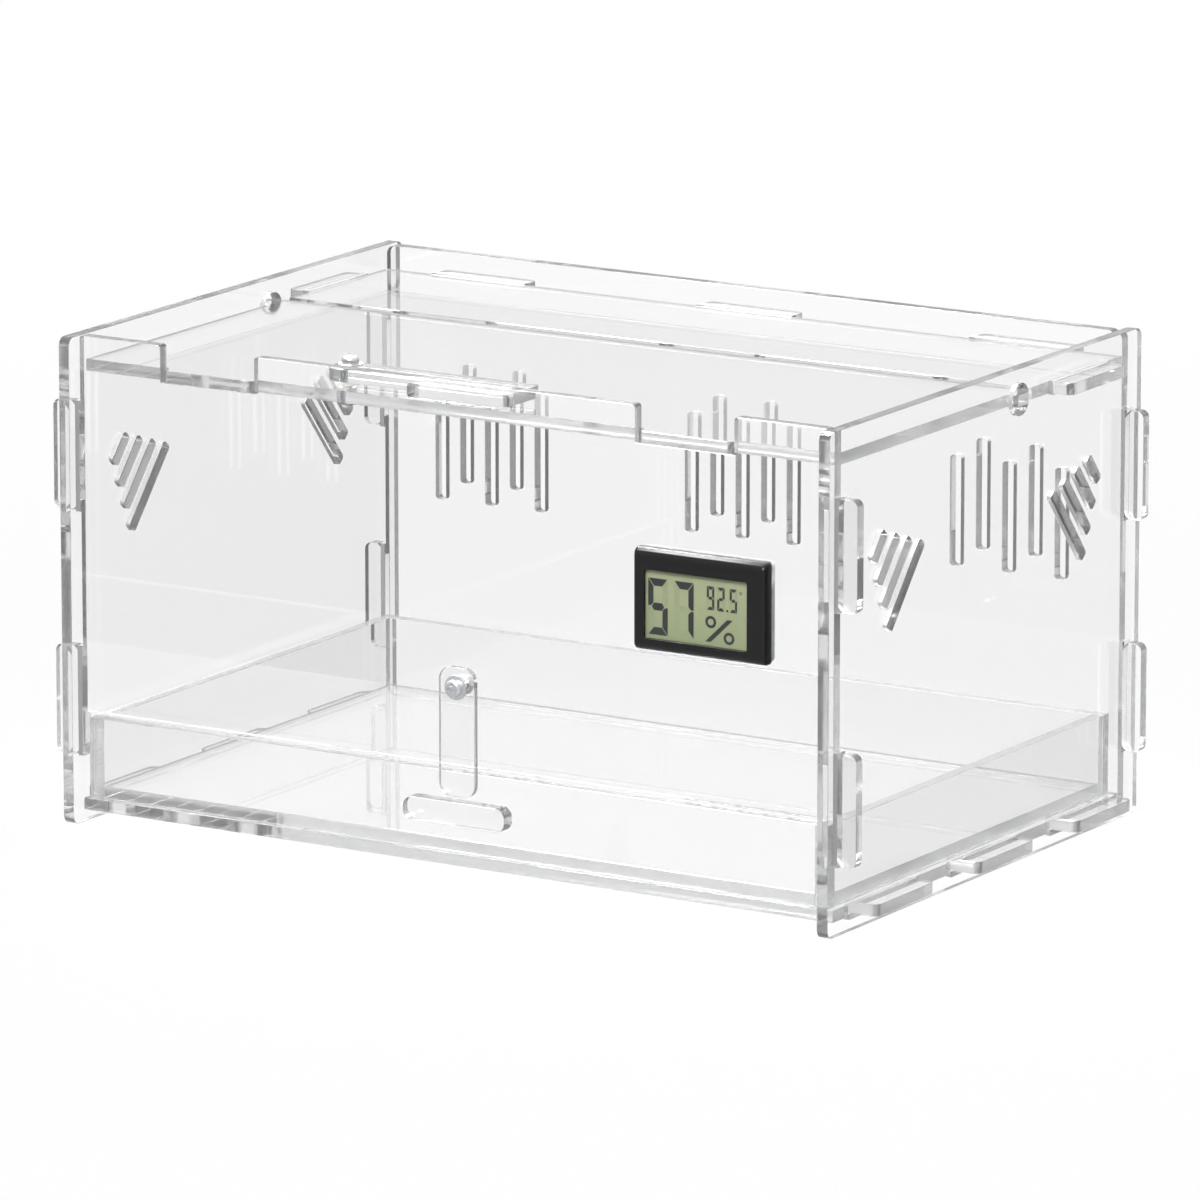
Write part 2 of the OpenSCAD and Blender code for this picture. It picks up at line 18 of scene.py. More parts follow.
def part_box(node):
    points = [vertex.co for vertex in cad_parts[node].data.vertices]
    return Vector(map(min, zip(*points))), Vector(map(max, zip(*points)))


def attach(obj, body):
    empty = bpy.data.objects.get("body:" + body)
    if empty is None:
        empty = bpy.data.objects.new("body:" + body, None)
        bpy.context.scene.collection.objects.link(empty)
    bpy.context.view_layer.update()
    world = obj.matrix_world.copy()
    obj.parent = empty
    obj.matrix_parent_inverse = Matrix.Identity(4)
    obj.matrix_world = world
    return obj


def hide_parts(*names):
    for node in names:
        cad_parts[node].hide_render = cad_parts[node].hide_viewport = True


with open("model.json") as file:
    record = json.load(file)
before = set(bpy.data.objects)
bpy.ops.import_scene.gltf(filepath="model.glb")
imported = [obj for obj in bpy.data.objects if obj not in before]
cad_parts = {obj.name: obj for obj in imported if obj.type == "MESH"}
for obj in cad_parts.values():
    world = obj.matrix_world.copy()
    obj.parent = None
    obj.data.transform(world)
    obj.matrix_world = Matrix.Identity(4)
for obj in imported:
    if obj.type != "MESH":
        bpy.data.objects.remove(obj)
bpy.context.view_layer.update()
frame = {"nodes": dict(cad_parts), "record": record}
nodes = frame["nodes"]
MM = 0.001
body_of_node = {
    name: body
    for body, members in frame["record"]["behaviour"]["bodies"].items()
    for name in members
}

# %% [markdown]
# ## The camera
#
# The photograph is taken from the front right, a little above the lid, from far away with a long lens, so
# the upright edges stay almost parallel. A camera could be placed by eye, but here its place was solved
# from the corners of the box, so the same corner falls on the same pixel.

# %% Camera at the photograph's angle
CAMERA_PLACE = Vector((1.77156, -2.86341, 0.83231))
CAMERA_AIM = Vector((-0.51332, 0.82945, -0.22025))
SENSOR_MM = 36
LENS_MM = 321.8
camera_data = bpy.data.cameras.new("studio_camera")
camera_data.sensor_width = SENSOR_MM
camera_data.lens = LENS_MM
camera = bpy.data.objects.new("studio_camera", camera_data)
camera.location = CAMERA_PLACE
camera.rotation_mode = "QUATERNION"
camera.rotation_quaternion = CAMERA_AIM.to_track_quat("-Z", "Y")
bpy.context.scene.collection.objects.link(camera)
bpy.context.scene.camera = camera
bpy.context.scene.view_settings.view_transform = "Standard"
print("camera", round(CAMERA_PLACE.length, 2), "m from the middle of the foot")

# %% [markdown]
# ## Light paths through clear sheets
#
# A ray that enters a sheet by its face leaves by the other face, but one that meets a cut edge is thrown
# from face to face many times before it finds a way out. With few bounces Cycles would drop it and paint
# it black, so the limits are raised for this scene.

# %% Bounce limits
cycles = bpy.context.scene.cycles
cycles.max_bounces = 128
cycles.transmission_bounces = 96
cycles.glossy_bounces = 96
cycles.transparent_max_bounces = 64
print("bounces", cycles.max_bounces)

# %% [markdown]
# ## Small helpers for node materials
#
# Every finish below is a small node graph. One helper starts a material with its Principled shader and
# another adds a node with its settings, which keeps each finish down to the lines that matter.


# %% Material helpers
def new_finish(name):
    finish = bpy.data.materials.new(name)
    finish.use_nodes = True
    return finish, finish.node_tree, finish.node_tree.nodes["Principled BSDF"]


def add_node(tree, kind, settings=None, **inputs):
    node = tree.nodes.new(kind)
    for key, value in (settings or {}).items():
        setattr(node, key, value)
    for key, value in inputs.items():
        node.inputs[key.replace("_", " ")].default_value = value
    return node


def object_pattern(tree, stretch=(1, 1, 1)):
    place = add_node(tree, "ShaderNodeTexCoord")
    mapping = add_node(tree, "ShaderNodeMapping", Scale=stretch)
    tree.links.new(place.outputs["Object"], mapping.inputs["Vector"])
    return mapping.outputs["Vector"]


def add_noise(tree, vector, scale, detail=2.0):
    noise = add_node(tree, "ShaderNodeTexNoise", Scale=scale, Detail=detail)
    tree.links.new(vector, noise.inputs["Vector"])
    return noise.outputs["Fac"]


def add_range(tree, value, low, high, start=0.35, end=0.65):
    ramp = add_node(tree, "ShaderNodeMapRange")
    ramp.inputs["From Min"].default_value = start
    ramp.inputs["From Max"].default_value = end
    ramp.inputs["To Min"].default_value = low
    ramp.inputs["To Max"].default_value = high
    tree.links.new(value, ramp.inputs["Value"])
    return ramp.outputs["Result"]


def add_bump(tree, shader, height, strength, distance):
    bump = add_node(tree, "ShaderNodeBump", Strength=strength, Distance=distance)
    tree.links.new(height, bump.inputs["Height"])
    tree.links.new(bump.outputs["Normal"], shader.inputs["Normal"])


def add_colours(tree, fac, stops):
    ramp = add_node(tree, "ShaderNodeValToRGB")
    for spot, colour in zip(ramp.color_ramp.elements, stops):
        spot.color = (*colour, 1)
    tree.links.new(fac, ramp.inputs["Fac"])
    return ramp.outputs["Color"]


print("helpers ready")

# %% [markdown]
# ## Clear acrylic
#
# Cast acrylic is a little less dense than glass and almost without colour: light that crosses a sheet
# from face to face loses very little in it, while the long way through to a cut edge takes a fifth or
# more, which is part of why the edges look grey. A tinted surface would grey the faces as much as the
# edges, so the loss is put in the volume, per metre of travel. Lamps must pass through the sheets to
# light what is behind them, so for shadow rays the surface is nearly clear.

# %% Polished acrylic
ACRYLIC_IOR = 1.49
ACRYLIC_ABSORBS = 0.7
FACE_PASSES = (0.97, 0.97, 0.97)
EDGE_PASSES = (0.80, 0.80, 0.80)


def let_lamps_through(tree, shader, colour):
    output = tree.nodes["Material Output"]
    light_path = add_node(tree, "ShaderNodeLightPath")
    clear = add_node(tree, "ShaderNodeBsdfTransparent", Color=(*colour, 1))
    mix = add_node(tree, "ShaderNodeMixShader")
    tree.links.new(light_path.outputs["Is Shadow Ray"], mix.inputs["Fac"])
    tree.links.new(shader.outputs["BSDF"], mix.inputs[1])
    tree.links.new(clear.outputs["BSDF"], mix.inputs[2])
    tree.links.new(mix.outputs["Shader"], output.inputs["Surface"])


def fill_with_absorption(tree, density):
    absorb = add_node(tree, "ShaderNodeVolumeAbsorption", Density=density)
    absorb.inputs["Color"].default_value = (0.0, 0.02, 0.02, 1)
    tree.links.new(absorb.outputs["Volume"], tree.nodes["Material Output"].inputs["Volume"])


polished, tree, shader = new_finish("acrylic_polished_face")
shader.inputs["Base Color"].default_value = (1.0, 1.0, 1.0, 1)
shader.inputs["Transmission Weight"].default_value = 1
shader.inputs["IOR"].default_value = ACRYLIC_IOR
wipe_marks = add_noise(tree, object_pattern(tree, (1, 3, 1)), 40.0, 3.0)
tree.links.new(add_range(tree, wipe_marks, 0.0, 0.006), shader.inputs["Roughness"])
let_lamps_through(tree, shader, FACE_PASSES)
fill_with_absorption(tree, ACRYLIC_ABSORBS)
print("made", polished.name)

# %% [markdown]
# ## Laser-cut edges
#
# The laser leaves the edge glossy, with fine ribs that run straight through the sheet's thickness. They
# break the light up into short bright and dark stretches. The ribs are a noise that is drawn out along
# the thin direction, and since a sheet may lie flat or stand either way, there is one finish for each
# direction. A cut along the sheet comes out clear. Slanted and rounded cuts get a greyer copy of the
# finish, which is painted shade that darkens them.


# %% Cut edges, and slanted cuts with painted shade
def cut_edge_finish(name, axis, tint, clearness):
    finish, tree, shader = new_finish(name)
    shader.inputs["Base Color"].default_value = tint
    shader.inputs["Transmission Weight"].default_value = clearness
    shader.inputs["IOR"].default_value = ACRYLIC_IOR
    along_thickness = [1, 1, 1]
    along_thickness[axis] = 0.02
    vector = object_pattern(tree, along_thickness)
    ribs = add_noise(tree, vector, 900.0, 1.0)
    haze = add_noise(tree, vector, 60.0, 2.0)
    tree.links.new(add_range(tree, haze, 0.05, 0.10), shader.inputs["Roughness"])
    add_bump(tree, shader, ribs, 0.012, 0.0002)
    let_lamps_through(tree, shader, EDGE_PASSES)
    fill_with_absorption(tree, ACRYLIC_ABSORBS)
    return finish


EDGE_TINT = (0.865, 0.868, 0.868, 1)
# painted shade: slanted and rounded cuts get this darker grey tint
SLANT_PAINTED_SHADE = (0.42, 0.422, 0.422, 1)
cut_edges = [cut_edge_finish("acrylic_cut_edge_" + "xyz"[k], k, EDGE_TINT, 0.9) for k in range(3)]
slant_cuts_painted_shade = [cut_edge_finish("acrylic_slant_cut_painted_shade_" + "xyz"[k], k, SLANT_PAINTED_SHADE, 0.8) for k in range(3)]
print("made", [finish.name for finish in cut_edges + slant_cuts_painted_shade])

# %% [markdown]
# ## Scuffed feet with painted shade
#
# The two side panels stand on their lower cut edges, and a table soon scuffs these. The dark line along
# the foot of each panel, where it meets the floor, is painted shade: the edge is mostly a dark matt grey,
# with a noise for the scuffs.

# %% Scuffed foot with painted shade
foot_painted_shade, tree, shader = new_finish("acrylic_foot_painted_shade")
scuffs = add_noise(tree, object_pattern(tree), 500.0, 3.0)
# painted shade: a dark matt grey along the foot, where the panel meets the floor
painted_shade_grey = add_colours(tree, scuffs, [(0.05, 0.05, 0.05), (0.09, 0.09, 0.09)])
tree.links.new(painted_shade_grey, shader.inputs["Base Color"])
tree.links.new(add_range(tree, scuffs, 0.4, 0.6), shader.inputs["Roughness"])
shader.inputs["Transmission Weight"].default_value = 0.2
shader.inputs["IOR"].default_value = ACRYLIC_IOR
let_lamps_through(tree, shader, EDGE_PASSES)
fill_with_absorption(tree, ACRYLIC_ABSORBS)
print("made", foot_painted_shade.name)

# %% [markdown]
# ## From CAD node to sheet
#
# A CAD node is loose triangles with knife-sharp edges. Its copy is welded first, and its flat triangles
# are dissolved into whole faces. Then every outer face is drawn back by a twentieth of a millimetre: two
# sheets that touch keep a film of air between them, as real ones do, and no two faces fall in one plane.
# The arris between a polished face and a cut edge gets a small chamfer, which catches the light as a thin
# line. Last, each face takes its finish by the way it faces: polished, cut square, cut aslant with
# painted shade, or stood on with painted shade.

# %% Sheet maker
WELD = 0.002 * MM
FLAT = math.radians(0.3)
AIR_FILM = 0.05 * MM
ARRIS = 0.12 * MM
FACE_ON = 0.99
SQUARE_CUT = 0.97
EDGE_ON = 0.1
FOOT_HIGH = 0.2 * MM


def welded_copy(node):
    bm = bmesh.new()
    bm.from_mesh(nodes[node].data)
    bmesh.ops.remove_doubles(bm, verts=bm.verts, dist=WELD)
    bmesh.ops.dissolve_limit(bm, angle_limit=FLAT, verts=bm.verts, edges=bm.edges)
    return bm


def draw_back(bm, node, film):
    low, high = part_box(node)
    centre = (low + high) / 2
    shrink = [1 - 2 * film / side for side in high - low]
    bmesh.ops.scale(bm, vec=shrink, verts=bm.verts, space=Matrix.Translation(-centre))


def piece_from(bm, name, body, finishes, replaced=(), smooth=30):
    mesh = bpy.data.meshes.new(name)
    bm.to_mesh(mesh)
    bm.free()
    if "custom_normal" in mesh.attributes:
        mesh.attributes.remove(mesh.attributes["custom_normal"])
    for finish in finishes:
        mesh.materials.append(finish)
    mesh.shade_smooth()
    mesh.set_sharp_from_angle(angle=math.radians(smooth))
    piece = bpy.data.objects.new(name, mesh)
    bpy.context.scene.collection.objects.link(piece)
    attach(piece, body)
    if replaced:
        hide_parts(*replaced)
    return piece


def make_sheet(node, face_finish, edge_finishes, slant_shade_finishes, film=AIR_FILM, arris=ARRIS):
    low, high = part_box(node)
    sides = list(high - low)
    thin = sides.index(min(sides))
    bm = welded_copy(node)
    draw_back(bm, node, film)

    def polished_side(face):
        return abs(face.normal[thin]) > FACE_ON

    arrises = [
        edge
        for edge in bm.edges
        if len(edge.link_faces) == 2
        and polished_side(edge.link_faces[0]) != polished_side(edge.link_faces[1])
    ]
    bmesh.ops.bevel(
        bm, geom=arrises, offset=arris, affect="EDGES", segments=1, profile=0.5, material=-1,
        clamp_overlap=False,
    )
    bm.normal_update()
    for face in bm.faces:
        along_axis = max(abs(part) for part in face.normal) > SQUARE_CUT
        slanted = not along_axis and abs(face.normal[thin]) < EDGE_ON
        stood_on = face.calc_center_median().z < FOOT_HIGH
        # slanted cuts and faces stood on take the finishes with painted shade
        face.material_index = 0 if polished_side(face) else 3 if stood_on else 2 if slanted else 1
    finishes = [face_finish, edge_finishes[thin], slant_shade_finishes[thin]]
    if low.z < FOOT_HIGH:
        finishes.append(foot_painted_shade)
    return piece_from(bm, node + "_sheet", body_of_node[node], finishes, [node])


print("arris", ARRIS / MM, "mm, air film", AIR_FILM / MM, "mm")

# %% [markdown]
# ## The sheets of the box, the lid, the latches and the drawer
#
# Fifteen pieces are cut from the same clear sheet, from the big side panels to the little pull on the
# drawer. They differ only in outline, which CAD already holds, so one maker does them all.

# %% All the acrylic sheets
SHEETS = [
    "left_side_panel", "right_side_panel", "front_panel", "back_panel", "base_plate", "rear_top_strip",
    "lid_panel", "lid_latch_lever", "drawer_latch_strap", "tray_front_wall", "tray_back_wall",
    "tray_left_wall", "tray_right_wall", "tray_floor", "drawer_pull",
]
sheets = {node: make_sheet(node, polished, cut_edges, slant_cuts_painted_shade) for node in SHEETS}
for node, piece in sheets.items():
    print(piece.name, len(piece.data.polygons), "faces")

# %% [markdown]
# ## Zinc-plated steel
#
# The screws, washers and nuts are small zinc-plated parts: bright metal, a little blue, with a fine
# tumbled grain. A flat metal colour would look like chrome, so its gloss is broken up by two sizes of
# noise.

# %% Plated steel
plated, tree, shader = new_finish("plated_steel")
shader.inputs["Metallic"].default_value = 1
vector = object_pattern(tree)
clouds = add_noise(tree, vector, 420.0, 3.0)
grain = add_noise(tree, vector, 5200.0, 2.0)
tint = add_colours(tree, clouds, [(0.72, 0.73, 0.75), (0.84, 0.85, 0.86)])
tree.links.new(tint, shader.inputs["Base Color"])
tree.links.new(add_range(tree, grain, 0.20, 0.36), shader.inputs["Roughness"])
add_bump(tree, shader, grain, 0.12, 0.00002)
print("made", plated.name)

# %% [markdown]
# ## Screws with a real thread
#
# Clear sheets hide nothing, so the shanks show inside their holes. The CAD screw has the pan head with
# its cross recess and a plain shank. The copy keeps the head, thins the shank to the root of the thread,
# and winds a ridge round it: one small triangle, spun about the axis while it moves along it, half a
# millimetre a turn.

# %% Screw maker
THREAD_PITCH = 0.5 * MM
THREAD_DEEP = 0.28 * MM
THREAD_STEPS = 20
THREAD_HALF = 0.46 * THREAD_PITCH
THREAD_START = 0.6 * THREAD_PITCH
THREAD_SHORT_TURNS = 1.4
ROOT_SUNK = 0.05 * MM
CREST_CLEAR = 0.02 * MM
SCREW_RIM = 0.08 * MM
SCREW_RIM_ANGLE = math.radians(50)


def make_screw(node, axis_point, out):
    low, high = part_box(node)
    out = Vector(out)
    reach = [corner.dot(out) for corner in (low, high)]
    tail = min(reach)
    bm = welded_copy(node)
    radii = {v: ((v.co - axis_point) - out * (v.co - axis_point).dot(out)).length for v in bm.verts}
    shank_r = min(r for v, r in radii.items() if abs(v.co.dot(out) - tail) < WELD)
    shank = [v for v, r in radii.items() if abs(r - shank_r) < WELD]
    under_head = max(v.co.dot(out) for v in shank)
    core_r = shank_r - THREAD_DEEP
    for v in shank:
        height = (v.co - axis_point).dot(out)
        across = (v.co - axis_point) - out * height
        v.co = axis_point + out * height + across * (core_r / shank_r)
    rims = [e for e in bm.edges if len(e.link_faces) == 2 and e.calc_face_angle() > SCREW_RIM_ANGLE]
    bmesh.ops.bevel(
        bm, geom=rims, offset=SCREW_RIM, affect="EDGES", segments=2, profile=0.5, material=-1,
        clamp_overlap=True,
    )
    side = out.orthogonal().normalized()
    start = axis_point - out * axis_point.dot(out) + out * (tail + THREAD_START)
    corners = [
        start + side * (core_r - ROOT_SUNK) - out * THREAD_HALF,
        start + side * (shank_r - CREST_CLEAR),
        start + side * (core_r - ROOT_SUNK) + out * THREAD_HALF,
    ]
    profile = bm.faces.new([bm.verts.new(corner) for corner in corners])
    turns = (under_head - tail) / THREAD_PITCH - THREAD_SHORT_TURNS
    steps = round(turns * THREAD_STEPS)
    bmesh.ops.spin(
        bm, geom=[profile, *profile.edges, *profile.verts], cent=start, axis=out,
        dvec=out * (turns * THREAD_PITCH / steps), angle=math.tau * turns, steps=steps,
    )
    bmesh.ops.recalc_face_normals(bm, faces=bm.faces)
    return piece_from(
        bm, node + "_threaded", body_of_node[node], [plated], [node], 40
    )


def axis_through(node):
    low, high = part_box(node)
    return (low + high) / 2


lid_screw = make_screw("lid_latch_bolt", axis_through("lid_latch_bolt"), (0, 0, 1))
drawer_screw = make_screw("drawer_latch_bolt", axis_through("drawer_latch_bolt"), (0, -1, 0))
print("screw faces", len(lid_screw.data.polygons), len(drawer_screw.data.polygons))

# %% [markdown]
# ## Washers, nuts and the spacer
#
# A washer is stamped and a nut is turned, so neither has a sharp rim. A CAD copy with a two-step bevel on
# every hard edge is enough at this size. The spacer under the lid's latch is plain white nylon, which
# lets a little light in under its surface.

# %% Nylon finish
nylon, tree, shader = new_finish("white_nylon")
vector = object_pattern(tree)
flow = add_noise(tree, vector, 300.0, 2.0)
milky = add_colours(tree, flow, [(0.78, 0.78, 0.75), (0.86, 0.86, 0.83)])
tree.links.new(milky, shader.inputs["Base Color"])
tree.links.new(add_range(tree, flow, 0.38, 0.5), shader.inputs["Roughness"])
shader.inputs["Subsurface Weight"].default_value = 0.2
shader.inputs["Subsurface Radius"].default_value = (0.001, 0.001, 0.001)
shader.inputs["Subsurface Scale"].default_value = 0.5
print("made", nylon.name)


# %% Softened copies of the small hardware
HARD_ANGLE = math.radians(40)
HARDWARE_FILM = 0.01 * MM
WASHER_RIM = 0.12 * MM
NUT_RIM = 0.25 * MM
SPACER_RIM = 0.15 * MM


def make_softened(node, suffix, finishes, offset, film=0.0, segments=2):
    bm = welded_copy(node)
    if film:
        draw_back(bm, node, film)
    hard = [e for e in bm.edges if len(e.link_faces) == 2 and e.calc_face_angle() > HARD_ANGLE]
    bmesh.ops.bevel(
        bm, geom=hard, offset=offset, affect="EDGES", segments=segments, profile=0.5, material=-1,
        clamp_overlap=True,
    )
    return piece_from(bm, node + suffix, body_of_node[node], finishes, [node], 40)


for node in ("lid_latch_washer", "drawer_latch_washer"):
    make_softened(node, "_stamped", [plated], WASHER_RIM, HARDWARE_FILM)
for node in ("lid_latch_nut", "drawer_latch_nut"):
    make_softened(node, "_turned", [plated], NUT_RIM, HARDWARE_FILM)
make_softened("lid_latch_spacer", "_moulded", [nylon], SPACER_RIM, HARDWARE_FILM)
print("softened two washers, two nuts and the spacer")

# %% [markdown]
# ## Black plastic of the meter
#
# The meter is moulded in glossy black plastic. Its grain is almost smooth, so the bump is very low, and
# the gloss varies slightly, as a moulding does where the plastic cooled faster.

# %% Black plastic
black_gloss, tree, shader = new_finish("black_moulded_plastic")
vector = object_pattern(tree)
clouds = add_noise(tree, vector, 90.0, 3.0)
grain = add_noise(tree, vector, 3500.0, 2.0)
tint = add_colours(tree, clouds, [(0.005, 0.005, 0.0055), (0.008, 0.008, 0.0085)])
tree.links.new(tint, shader.inputs["Base Color"])
tree.links.new(add_range(tree, clouds, 0.14, 0.20), shader.inputs["Roughness"])
shader.inputs["Specular IOR Level"].default_value = 0.36
add_bump(tree, shader, grain, 0.04, 0.00002)
print("made", black_gloss.name)

# %% [markdown]
# ## The bezel
#
# The bezel is a black frame whose sides curve in to its face, more at the top and the foot than at the
# two sides, and the curve shows a white reflection along the top. Its lip lies on the panel, and a sleeve
# behind it fills the cut-out. The CAD block has plain slopes for the curve. A bevel on those would tangle
# at the corners, so the frame is built again: a rounded outline is extruded forwards in short steps along
# a quarter ellipse, and backwards for the sleeve, and then it is opened for the window.

# %% Bezel outline
BEZEL_DEEP = 2.8 * MM
BEZEL_INSET_X = 1.2 * MM
BEZEL_INSET_Z = 3.0 * MM
BEZEL_STEPS = 9
CORNER_R = 1.1 * MM
SLEEVE_STEP = 0.5 * MM
SLEEVE_R = 1.8 * MM
bezel_low, bezel_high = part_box("meter_bezel")
bezel_mid = (bezel_low + bezel_high) / 2
lip_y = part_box("front_panel")[0].y


def rounded_face(bm, low, high, y, radius):
    old_faces = set(bm.faces)
    corners = [(low.x, low.z), (high.x, low.z), (high.x, high.z), (low.x, high.z)]
    verts = [bm.verts.new((x, y, z)) for x, z in corners]
    bm.faces.new(verts)
    bmesh.ops.bevel(
        bm, geom=verts, offset=radius, affect="VERTICES", segments=6, profile=0.5, material=-1,
        clamp_overlap=True,
    )
    return next(face for face in bm.faces if face not in old_faces)


def push_face(bm, face, step, scale=(1, 1, 1), keep_face=False):
    pushed = bmesh.ops.extrude_face_region(bm, geom=[face])["geom"]
    pushed_face = next(g for g in pushed if isinstance(g, bmesh.types.BMFace))
    bmesh.ops.scale(bm, vec=scale, verts=pushed_face.verts[:], space=Matrix.Translation(-bezel_mid))
    bmesh.ops.translate(bm, vec=(0, step, 0), verts=pushed_face.verts[:])
    if not keep_face:
        bmesh.ops.delete(bm, geom=[face], context="FACES_ONLY")
    return pushed_face


bm = bmesh.new()
rear = rounded_face(bm, bezel_low, bezel_high, lip_y, CORNER_R)
front = push_face(bm, rear, bezel_low.y + BEZEL_DEEP - lip_y, keep_face=True)
half_x = (bezel_high.x - bezel_low.x) / 2
half_z = (bezel_high.z - bezel_low.z) / 2
for step in range(BEZEL_STEPS):
    turns = [math.pi / 2 * k / BEZEL_STEPS for k in (step, step + 1)]
    drawn_in = [1 - math.cos(turn) for turn in turns]
    narrower = [half_x - BEZEL_INSET_X * share for share in drawn_in]
    lower = [half_z - BEZEL_INSET_Z * share for share in drawn_in]
    forward = BEZEL_DEEP * (math.sin(turns[1]) - math.sin(turns[0]))
    front = push_face(bm, front, -forward, (narrower[1] / narrower[0], 1, lower[1] / lower[0]))
step_in = Vector((SLEEVE_STEP, 0, SLEEVE_STEP))
sleeve = rounded_face(bm, bezel_low + step_in, bezel_high - step_in, lip_y, SLEEVE_R)
sleeve_rim = sleeve.edges[:]
sleeve_end = push_face(bm, sleeve, bezel_high.y - lip_y)
ends = [round(face.verts[0].co.y / MM, 2) for face in (front, sleeve_end)]
print("bezel from", ends[0], "to", ends[1], "mm along y")

# %% Window opening and hollow back of the bezel
WINDOW_LAP = 1.4 * MM
WINDOW_CORNER = 0.5 * MM
BEZEL_WALL = 2.2 * MM
MOUTH_LIP = 0.25 * MM
window_low, window_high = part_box("meter_window")
lap = Vector((WINDOW_LAP, 0, WINDOW_LAP))
wall = Vector((BEZEL_WALL, 0, BEZEL_WALL))


def rounded_loop(bm, low, high, y, radius):
    face = rounded_face(bm, low, high, y, radius)
    edges = face.edges[:]
    bmesh.ops.delete(bm, geom=[face], context="FACES_ONLY")
    return edges


def open_face(bm, face):
    edges = face.edges[:]
    bmesh.ops.delete(bm, geom=[face], context="FACES_ONLY")
    return edges


front_rim = open_face(bm, front)
lip_rim = open_face(bm, rear)
sleeve_end_rim = open_face(bm, sleeve_end)
mouth_front = rounded_loop(bm, window_low + lap, window_high - lap, bezel_low.y, WINDOW_CORNER)
mouth_back = rounded_loop(bm, window_low + lap, window_high - lap, window_low.y, WINDOW_CORNER)
hollow_front = rounded_loop(bm, bezel_low + wall, bezel_high - wall, window_low.y, WINDOW_CORNER)
hollow_back = rounded_loop(bm, bezel_low + wall, bezel_high - wall, bezel_high.y, WINDOW_CORNER)
bmesh.ops.triangle_fill(bm, edges=front_rim + mouth_front, use_beauty=True)
bmesh.ops.bridge_loops(bm, edges=mouth_front + mouth_back)
bmesh.ops.bridge_loops(bm, edges=mouth_back + hollow_front)
bmesh.ops.bridge_loops(bm, edges=hollow_front + hollow_back)
bmesh.ops.triangle_fill(bm, edges=sleeve_end_rim + hollow_back, use_beauty=True)
bmesh.ops.triangle_fill(bm, edges=lip_rim + sleeve_rim, use_beauty=True)
bmesh.ops.recalc_face_normals(bm, faces=bm.faces)
bmesh.ops.bevel(
    bm, geom=mouth_front, offset=MOUTH_LIP, affect="EDGES", segments=3, profile=0.5, material=-1,
    clamp_overlap=True,
)
open_edges = [e for e in bm.edges if len(e.link_faces) != 2]
print("bezel", len(bm.faces), "faces,", len(open_edges), "open edges")
piece_from(bm, "meter_bezel_frame", "enclosure", [black_gloss], ["meter_bezel"], 40)

# %% [markdown]
# ## The meter's window
#
# A thin clear pane lies behind the bezel. It is made like a sheet, with a wider film of air behind it, so
# that the display's dark segments have room on the glass below.

# %% Window pane
WINDOW_FILM = 0.1 * MM
WINDOW_ARRIS = 0.1 * MM
lens, tree, shader = new_finish("meter_lens")
shader.inputs["Transmission Weight"].default_value = 1
shader.inputs["IOR"].default_value = ACRYLIC_IOR
shader.inputs["Specular IOR Level"].default_value = 0.2
smears = add_noise(tree, object_pattern(tree), 250.0, 3.0)
tree.links.new(add_range(tree, smears, 0.0, 0.03), shader.inputs["Roughness"])
let_lamps_through(tree, shader, FACE_PASSES)
pane = [lens] * 3
window = make_sheet("meter_window", lens, pane, pane, WINDOW_FILM, WINDOW_ARRIS)
print(window.name, len(window.data.polygons), "faces")

# %% [markdown]
# ## The liquid-crystal display
#
# The display's ground is a dull olive grey with painted light that makes it a little paler near the top,
# and it has a fine speckle from the reflector behind the glass. The CAD node keeps its shape, so it only
# gets this finish.

# %% Display ground
olive, tree, shader = new_finish("display_ground")
vector = object_pattern(tree)
speckle = add_noise(tree, vector, 4000.0, 2.0)
parts = add_node(tree, "ShaderNodeSeparateXYZ")
tree.links.new(vector, parts.inputs["Vector"])
# painted light: the ground grows paler towards the top of the window
height = add_range(tree, parts.outputs["Z"], 0.0, 1.0, window_low.z, window_high.z)
speckle_and_painted_light = add_node(tree, "ShaderNodeMath", {"operation": "MULTIPLY_ADD"})
speckle_and_painted_light.inputs[1].default_value = 0.25
tree.links.new(speckle, speckle_and_painted_light.inputs[0])
tree.links.new(height, speckle_and_painted_light.inputs[2])
ground = add_colours(tree, speckle_and_painted_light.outputs["Value"], [(0.290, 0.345, 0.185), (0.385, 0.425, 0.245)])
tree.links.new(ground, shader.inputs["Base Color"])
tree.links.new(add_range(tree, speckle, 0.38, 0.5), shader.inputs["Roughness"])
nodes["meter_display"].data.materials.clear()
nodes["meter_display"].data.materials.append(olive)
print("made", olive.name)

# %% [markdown]
# ## Figures on the display
#
# The figures are the usual seven bars with mitred ends. Each bar is one flat polygon, set between the
# ground and the window, and a table says which bars are lit for a figure. The unlit bars stay just
# visible, as they do on a real display seen from the side.

# %% Ink of the display
ink, tree, shader = new_finish("display_ink")
ink_noise = add_noise(tree, object_pattern(tree), 900.0, 2.0)
ink_tint = add_colours(tree, ink_noise, [(0.008, 0.012, 0.011), (0.015, 0.020, 0.018)])
tree.links.new(ink_tint, shader.inputs["Base Color"])
shader.inputs["Roughness"].default_value = 0.4
faint, tree, shader = new_finish("display_unlit")
faint_noise = add_noise(tree, object_pattern(tree), 900.0, 2.0)
faint_tint = add_colours(tree, faint_noise, [(0.290, 0.340, 0.185), (0.345, 0.385, 0.215)])
tree.links.new(faint_tint, shader.inputs["Base Color"])
shader.inputs["Roughness"].default_value = 0.4
print("made", ink.name, "and", faint.name)

# %% Bars of one figure
LIT = {"2": "abged", "5": "afgcd", "7": "abc", "9": "abcfgd"}
INK_FRONT = 0.05 * MM
INK_DEEP = 0.04 * MM
display_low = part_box("meter_display")[0]


